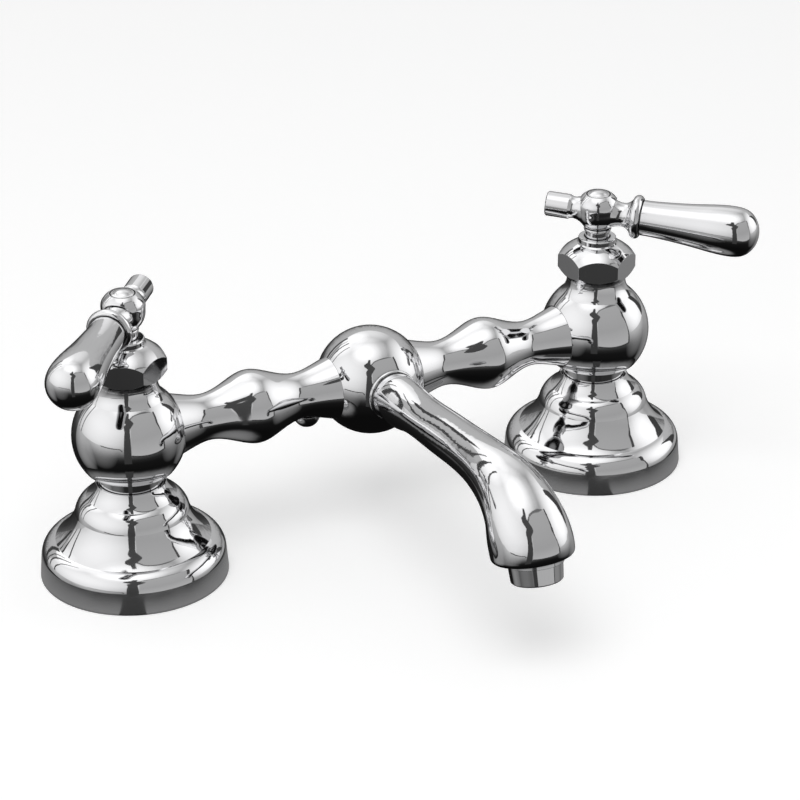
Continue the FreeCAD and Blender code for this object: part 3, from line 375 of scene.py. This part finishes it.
def index_cap(side):
    """Draws the cap up ring by ring from a disc at its foot and closes its crown."""
    dress(chrome, f"{side}_index_cap")
    low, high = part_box(f"{side}_index_cap")
    foot = Vector(((low[0] + high[0]) / 2, (low[1] + high[1]) / 2, high[2] - CAP_FOOT))
    radius, height = CAP_RINGS[0]
    bpy.ops.object.select_all(action="DESELECT")
    bpy.ops.mesh.primitive_circle_add(vertices=CAP_SIDES, radius=radius, fill_type="NGON",
                                      location=foot)
    cap = bpy.context.active_object
    cap.name = f"{side}_button_cap"
    bpy.ops.object.mode_set(mode="EDIT")
    bpy.ops.mesh.select_all(action="SELECT")
    for next_radius, next_height in CAP_RINGS[1:]:
        bpy.ops.mesh.extrude_region_move(TRANSFORM_OT_translate={
            "value": (0, 0, next_height - height)})
        grown = next_radius / radius
        bpy.ops.transform.resize(value=(grown, grown, 1), center_override=foot)
        radius, height = next_radius, next_height
    bpy.ops.mesh.poke()
    bpy.ops.mesh.select_all(action="SELECT")
    bpy.ops.mesh.normals_make_consistent(inside=False)
    bpy.ops.object.mode_set(mode="OBJECT")
    bpy.ops.object.transform_apply(location=True, rotation=True, scale=True)
    bpy.ops.object.shade_smooth_by_angle(angle=CAP_CREASE)
    cap.data.materials.append(chrome)
    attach(cap, f"{side}_handle")
    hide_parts(f"{side}_index_cap")


for side in SIDES:
    index_cap(side)

# Bridge
# Two arms turned from bar, each pushed with an O-ring into a valve and into the cast ball in
# the middle, and a small domed plug that closes a tapping under the left arm.

dress(chrome, "bridge_arm_left", "bridge_arm_right", "bridge_ball", "bridge_arm_plug")
for side in SIDES:
    dress(rubber, f"bridge_seal_{side}_ball", f"bridge_seal_{side}_valve")

# Spout
# A cast spout, cored for the water and polished along its length, on a spigot with an O-ring
# in the front of the ball.

dress(chrome, "spout")
dress(rubber, "spout_seal")

# Aerator
# A chromed ring screwed into the mouth of the spout, with a perforated plastic insert that
# mixes air into the water and a rubber washer above it.

ACETAL_DARK, ACETAL_PALE = (0.74, 0.74, 0.71, 1), (0.82, 0.82, 0.80, 1)
insert, flow = grained("moulded_plastic", (ACETAL_DARK, ACETAL_PALE), roughness=(0.40, 0.55),
                       grain={"scale": 150, "detail": 3.0})
dress(chrome, "aerator_housing")
dress(insert.material, "aerator_insert")
dress(rubber, "aerator_washer")

# Floor
# A plain white sweep under the faucet. The camera sees it close to white, and it keeps the
# soft shadow of the bells. The chrome mirrors the studio's table in its place.

FLOOR_SIZE = 12.0
FLOOR_DROP = 0.0001
FLOOR_LIFT = 0.30


def clear_view(finish):
    """1 where the camera, a mirror or glass looks, and 0 for light that goes elsewhere."""
    seen, mirrored, through = (finish.node("ShaderNodeLightPath", output=kind) for kind in (
        "Is Camera Ray", "Is Glossy Ray", "Is Transmission Ray"))
    return seen.maths("MAXIMUM", seen.maths("MAXIMUM", seen, mirrored), through)


bpy.ops.object.select_all(action="DESELECT")
bpy.ops.mesh.primitive_plane_add(size=FLOOR_SIZE, location=(0, 0, -FLOOR_DROP))
floor = bpy.context.active_object
floor.name = "floor"
paper = Finish("floor_paper", base_color=grey(0.88), roughness=0.9, emission_color=WHITE)
paper.feed(paper.shader.inputs["Specular IOR Level"], 0.0)
paper.feed(paper.shader.inputs["Emission Strength"], clear_view(paper) * FLOOR_LIFT)
floor.data.materials.append(paper.material)
floor.visible_glossy = False

# Studio
# The chrome mirrors the room, so its walls, screens and flags stand round the faucet: pale
# walls, a grey screen and the dark camera in front, a softbox to the right and a dark table.

STUDIO_MIDDLE = Vector((0.0, 0.0, 0.058))
PAPER_GRAIN = (14, 14, 1.5)
PAPER_DETAIL = 4.0
WALL_PANELS = (72, 36)


def way(azimuth, elevation):
    """Direction from the faucet. Azimuth 0 is in front of the spout and 90 to its right."""
    turn, lift = math.radians(azimuth), math.radians(elevation)
    level = math.cos(lift)
    return Vector((math.sin(turn) * level, -math.cos(turn) * level, math.sin(lift)))


def half(value):
    """A value from -1 to 1 brought to 0 to 1, as a ramp takes it."""
    return value * 0.5 + 0.5


def glowing(name):
    """Finish that only gives off light."""
    lit = Finish(name, base_color=BLACK, roughness=1.0, emission_strength=1.0)
    lit.feed(lit.shader.inputs["Specular IOR Level"], 0.0)
    return lit


def glow(name, stops, spots=(), streaks=0.0):
    """Finish of a wall lit by its height, in stops of (elevation, level), and by soft spots.

    Each spot is an azimuth, an elevation, the angle to its faint edge and its level.
    """
    wall = glowing(name)
    spot = wall.node("ShaderNodeTexCoord", output="Object")
    ray = wall.node("ShaderNodeVectorMath", {"operation": "SUBTRACT"}, {
        0: spot, 1: STUDIO_MIDDLE})
    unit = wall.node("ShaderNodeVectorMath", {"operation": "NORMALIZE"}, {0: ray})
    height = wall.node("ShaderNodeSeparateXYZ", sockets={"Vector": unit}, output="Z")
    grain = wall.node("ShaderNodeMapping", sockets={"Vector": unit, "Scale": PAPER_GRAIN})
    cloud = wall.node("ShaderNodeTexNoise", sockets={
        "Vector": grain, "Detail": PAPER_DETAIL}, output="Fac")
    light = wall.ramp(half(height) + (cloud - 0.5) * streaks, [
        (half(math.sin(math.radians(elevation))), grey(level)) for elevation, level in stops])
    for azimuth, elevation, angle, level in spots:
        near = wall.node("ShaderNodeVectorMath", {"operation": "DOT_PRODUCT"}, {
            0: unit, 1: way(azimuth, elevation)}, output="Value")
        patch = wall.ramp(half(near), [
            (half(math.cos(math.radians(angle))), BLACK), (1.0, grey(level))])
        light = wall.node("ShaderNodeMix", {"data_type": "RGBA", "blend_type": "ADD"}, {
            "Factor": 1.0, "A": light, "B": patch}, output=2)
    wall.feed(wall.shader.inputs["Emission Color"], light)
    return wall.material


def mirrored_only(card, name, material):
    """The card shows in reflections and nowhere else."""
    card.name = name
    card.data.materials.append(material)
    card.visible_camera = False
    card.visible_diffuse = False
    card.visible_shadow = False
    card.visible_transmission = False


def wall(name, azimuths, elevations, distance, material):
    """Curved wall that spans two azimuths and two elevations as seen from the faucet."""
    bpy.ops.object.select_all(action="DESELECT")
    bpy.ops.mesh.primitive_grid_add(x_subdivisions=WALL_PANELS[0],
                                    y_subdivisions=WALL_PANELS[1], size=2.0)
    made = bpy.context.active_object
    for corner in made.data.vertices:
        azimuth = azimuths[0] + half(corner.co.x) * (azimuths[1] - azimuths[0])
        elevation = elevations[0] + half(corner.co.y) * (elevations[1] - elevations[0])
        corner.co = STUDIO_MIDDLE + way(azimuth, elevation) * distance
    mirrored_only(made, name, material)


def flag(name, corners, distance, material):
    """Flat card cut to corners, each an azimuth and an elevation as seen from the faucet."""
    bpy.ops.object.select_all(action="DESELECT")
    bpy.ops.mesh.primitive_circle_add(vertices=len(corners), fill_type="NGON")
    made = bpy.context.active_object
    for corner, (azimuth, elevation) in zip(made.data.vertices, corners):
        corner.co = STUDIO_MIDDLE + way(azimuth, elevation) * distance
    mirrored_only(made, name, material)


wall_paper = glow("wall_paper", [
    (-4, 0.30), (4, 0.40), (25, 0.46), (45, 0.44), (56, 0.40), (66, 0.62), (78, 0.80),
    (90, 0.84)], spots=[(82, 17, 42, 0.80), (-95, 32, 78, 0.58), (158, 42, 30, 0.45),
                        (-165, 42, 30, 0.45), (-60, 78, 30, 0.20)], streaks=0.05)
back_paper = glow("back_paper", [(-4, 0.13), (6, 0.38), (20, 0.48), (30, 0.50)], streaks=0.40)
table_top = glow("table_top", [
    (-60, 0.004), (-34, 0.008), (-27, 0.02), (-22, 0.05), (-17, 0.12), (-11, 0.24),
    (-3, 0.42)], spots=[(-124, -25, 26, 0.26), (-80, -12, 34, 0.14), (72, -14, 30, 0.16),
                        (112, -25, 22, 0.22)], streaks=0.05)
dark_table = glow("dark_table", [(-50, 0.004), (-26, 0.012), (-12, 0.04), (-3, 0.10)],
                  streaks=0.08)
screen_cloth = glow("screen_cloth", [(-17, 0.46), (14, 0.38), (60, 0.42)], streaks=0.16)
black_cloth = glow("black_cloth", [(-90, 0.03), (0, 0.05), (90, 0.07)], streaks=0.2)
screen_seam = glow("screen_seam", [(-90, 0.15), (90, 0.15)])

# Walls by name: azimuths, elevations, distance and finish.
WALLS = {
    "walls_and_ceiling": ((-180, 180), (-4, 90), 3.6, wall_paper),
    "back_wall": ((104, 212), (-4, 30), 3.3, back_paper),
    "table": ((-180, 180), (-90, -3), 3.4, table_top),
    "table_behind": ((130, 212), (-50, -3), 3.3, dark_table)}
# Flags by name: corners, distance and finish.
FLAGS = {
    "grey_screen": (((-21, -17), (46, -17), (44, 12), (46, 30), (60, 46), (40, 56), (12, 61),
                     (-8, 60), (-21, 52)), 2.4, screen_cloth),
    "screen_frame": (((46, -19), (49, -19), (47.5, 12), (50, 29), (64, 46), (60, 48), (46, 31),
                      (44, 12)), 2.3, black_cloth),
    "screen_foot": (((-20, -19), (48, -19), (48, -17), (-20, -16)), 2.3, black_cloth),
    "screen_top": (((-30, 45), (-22, 52), (-8, 60), (12, 61), (40, 56), (60, 47), (41, 58.5),
                    (12, 63), (-9, 62), (-24, 55)), 2.3, screen_seam),
    "camera_stand": (((-36, -34), (-21, -34), (-22.5, 30), (-34.5, 30)), 2.2, black_cloth),
    "camera": (((-34, 29), (-23, 29), (-22, 36), (-11, 44), (-12, 48), (-25, 57), (-24, 66),
                (-34, 66), (-36, 60), (-47, 54), (-45, 50), (-33, 45), (-37, 41), (-37, 37)),
               2.1, black_cloth),
    "light_stand": (((-80, -4), (-42, -4.5), (-38, -9), (-37, -7), (-42, -3), (-80, -2.5)),
                    2.9, black_cloth),
    "left_frame": (((-132, -3), (-130, -3), (-134, 22), (-146, 52), (-148, 51), (-136, 22)),
                   2.9, black_cloth),
    "left_edge": (((-142, -3), (-140, -3), (-146, 20), (-160, 46), (-163, 45), (-149, 20)),
                  2.9, black_cloth),
    "back_frame": (((-156, -3), (-151, -3), (-158, 16), (-174, 34), (-178, 31), (-163, 14)),
                   2.9, black_cloth),
    "back_edge": (((-148.5, -3), (-147.5, -3), (-152, 18), (-168, 40), (-169, 39),
                   (-154, 18)), 2.9, black_cloth),
    "back_screen": (((98, -3), (113, -3), (110, 12), (101, 30), (96, 30), (100, 12)), 2.9,
                    black_cloth)}
for name, built in WALLS.items():
    wall(name, *built)
for name, cut in FLAGS.items():
    flag(name, *cut)

BLOTTER_RADIUS = 0.062
BLOTTER_DROP = 0.00005
BLOTTER_SIDES = 96
BLOTTER_STOPS = [(0.034, grey(0.26)), (0.049, grey(0.16)), (0.060, grey(0.008))]
BLOTTER_STREAKS = 0.006
SHADE_CORNERS = ((-33, 0.030), (-33, 0.061), (-16, 0.061), (-16, 0.030))
SHADE_LIFT = Vector((0, 0, 0.00002))


def blotter(side):
    """Pale paper on the table close round a bell, with the stand's shade across it.

    Only the bell's foot mirrors them.
    """
    low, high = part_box(f"{side}_escutcheon")
    middle = Vector(((low[0] + high[0]) / 2, (low[1] + high[1]) / 2, -BLOTTER_DROP))
    bpy.ops.object.select_all(action="DESELECT")
    bpy.ops.mesh.primitive_circle_add(vertices=BLOTTER_SIDES, radius=BLOTTER_RADIUS,
                                      fill_type="NGON", location=middle)
    sheet = glowing(f"{side}_blotter")
    spot = sheet.node("ShaderNodeTexCoord", output="Object")
    reach = sheet.node("ShaderNodeVectorMath", {"operation": "LENGTH"}, {0: spot}, output="Value")
    streak = sheet.node("ShaderNodeTexNoise", sockets={
        "Vector": spot, "Scale": 60.0, "Detail": 3.0}, output="Fac")
    sheet.feed(sheet.shader.inputs["Emission Color"],
               sheet.ramp(reach + streak * BLOTTER_STREAKS, BLOTTER_STOPS))
    mirrored_only(bpy.context.active_object, f"{side}_paper", sheet.material)
    bpy.ops.object.select_all(action="DESELECT")
    bpy.ops.mesh.primitive_circle_add(vertices=len(SHADE_CORNERS), fill_type="NGON")
    shade = bpy.context.active_object
    for corner, (azimuth, radius) in zip(shade.data.vertices, SHADE_CORNERS):
        corner.co = middle + way(azimuth, 0) * radius + SHADE_LIFT
    mirrored_only(shade, f"{side}_shade", black_cloth)


for side in SIDES:
    blotter(side)

# Light
# One broad soft lamp hangs overhead to the left of the camera, and a white room fills in. The
# camera and the chrome see the room at full white, but less of it lights the faucet.

LAMP_PLACE = Vector((-0.4, -0.5, 1.5))
LAMP_WIDTH, LAMP_DEPTH = 1.2, 1.0
LAMP_WATTS = 9.0
bpy.ops.object.light_add(type="AREA", location=LAMP_PLACE,
                         rotation=LAMP_PLACE.to_track_quat("Z", "Y").to_euler())
lamp = bpy.context.active_object
lamp.name = "overhead_softbox"
lamp.data.shape = "RECTANGLE"
lamp.data.size = LAMP_WIDTH
lamp.data.size_y = LAMP_DEPTH
lamp.data.energy = LAMP_WATTS
lamp.visible_glossy = False

ROOM_LEVEL = 0.55


class Room(Finish):
    """The white room round the faucet, made of nodes in the same way as a finish."""

    def __init__(self, name):
        self.world = bpy.data.worlds.new(name)
        self.world.use_nodes = True
        self.tree = self.world.node_tree
        self.shader = self.tree.nodes["Background"]


white_room = Room("white_room")
white_room.feed(white_room.shader.inputs["Color"], WHITE)
white_room.feed(white_room.shader.inputs["Strength"],
                ROOM_LEVEL + clear_view(white_room) * (1 - ROOM_LEVEL))
bpy.context.scene.world = white_room.world

# Camera
# A long lens from the front left, above the faucet. Its place and angles in degrees were
# fitted to the outline of the faucet in the photograph.

CAMERA_PLACE = Vector((-0.48024, -0.94928, 0.57790))
CAMERA_AZIMUTH = 27.462
CAMERA_FALL = 26.457
CAMERA_ROLL = -0.123
CAMERA_LENS = 136.89
SENSOR_WIDTH = 36.0
NEAR_CLIP, FAR_CLIP = 0.05, 40.0
bpy.ops.object.camera_add()
camera = bpy.context.active_object
camera.name = "camera"
camera.data.sensor_width = SENSOR_WIDTH
camera.data.lens = CAMERA_LENS
camera.data.clip_start = NEAR_CLIP
camera.data.clip_end = FAR_CLIP
turned_to = (Matrix.Rotation(math.radians(-CAMERA_AZIMUTH), 4, "Z")
             @ Matrix.Rotation(math.radians(90 - CAMERA_FALL), 4, "X")
             @ Matrix.Rotation(math.radians(CAMERA_ROLL), 4, "Z"))
camera.matrix_world = Matrix.Translation(CAMERA_PLACE) @ turned_to
bpy.context.scene.camera = camera
bpy.context.scene.view_settings.view_transform = "Standard"
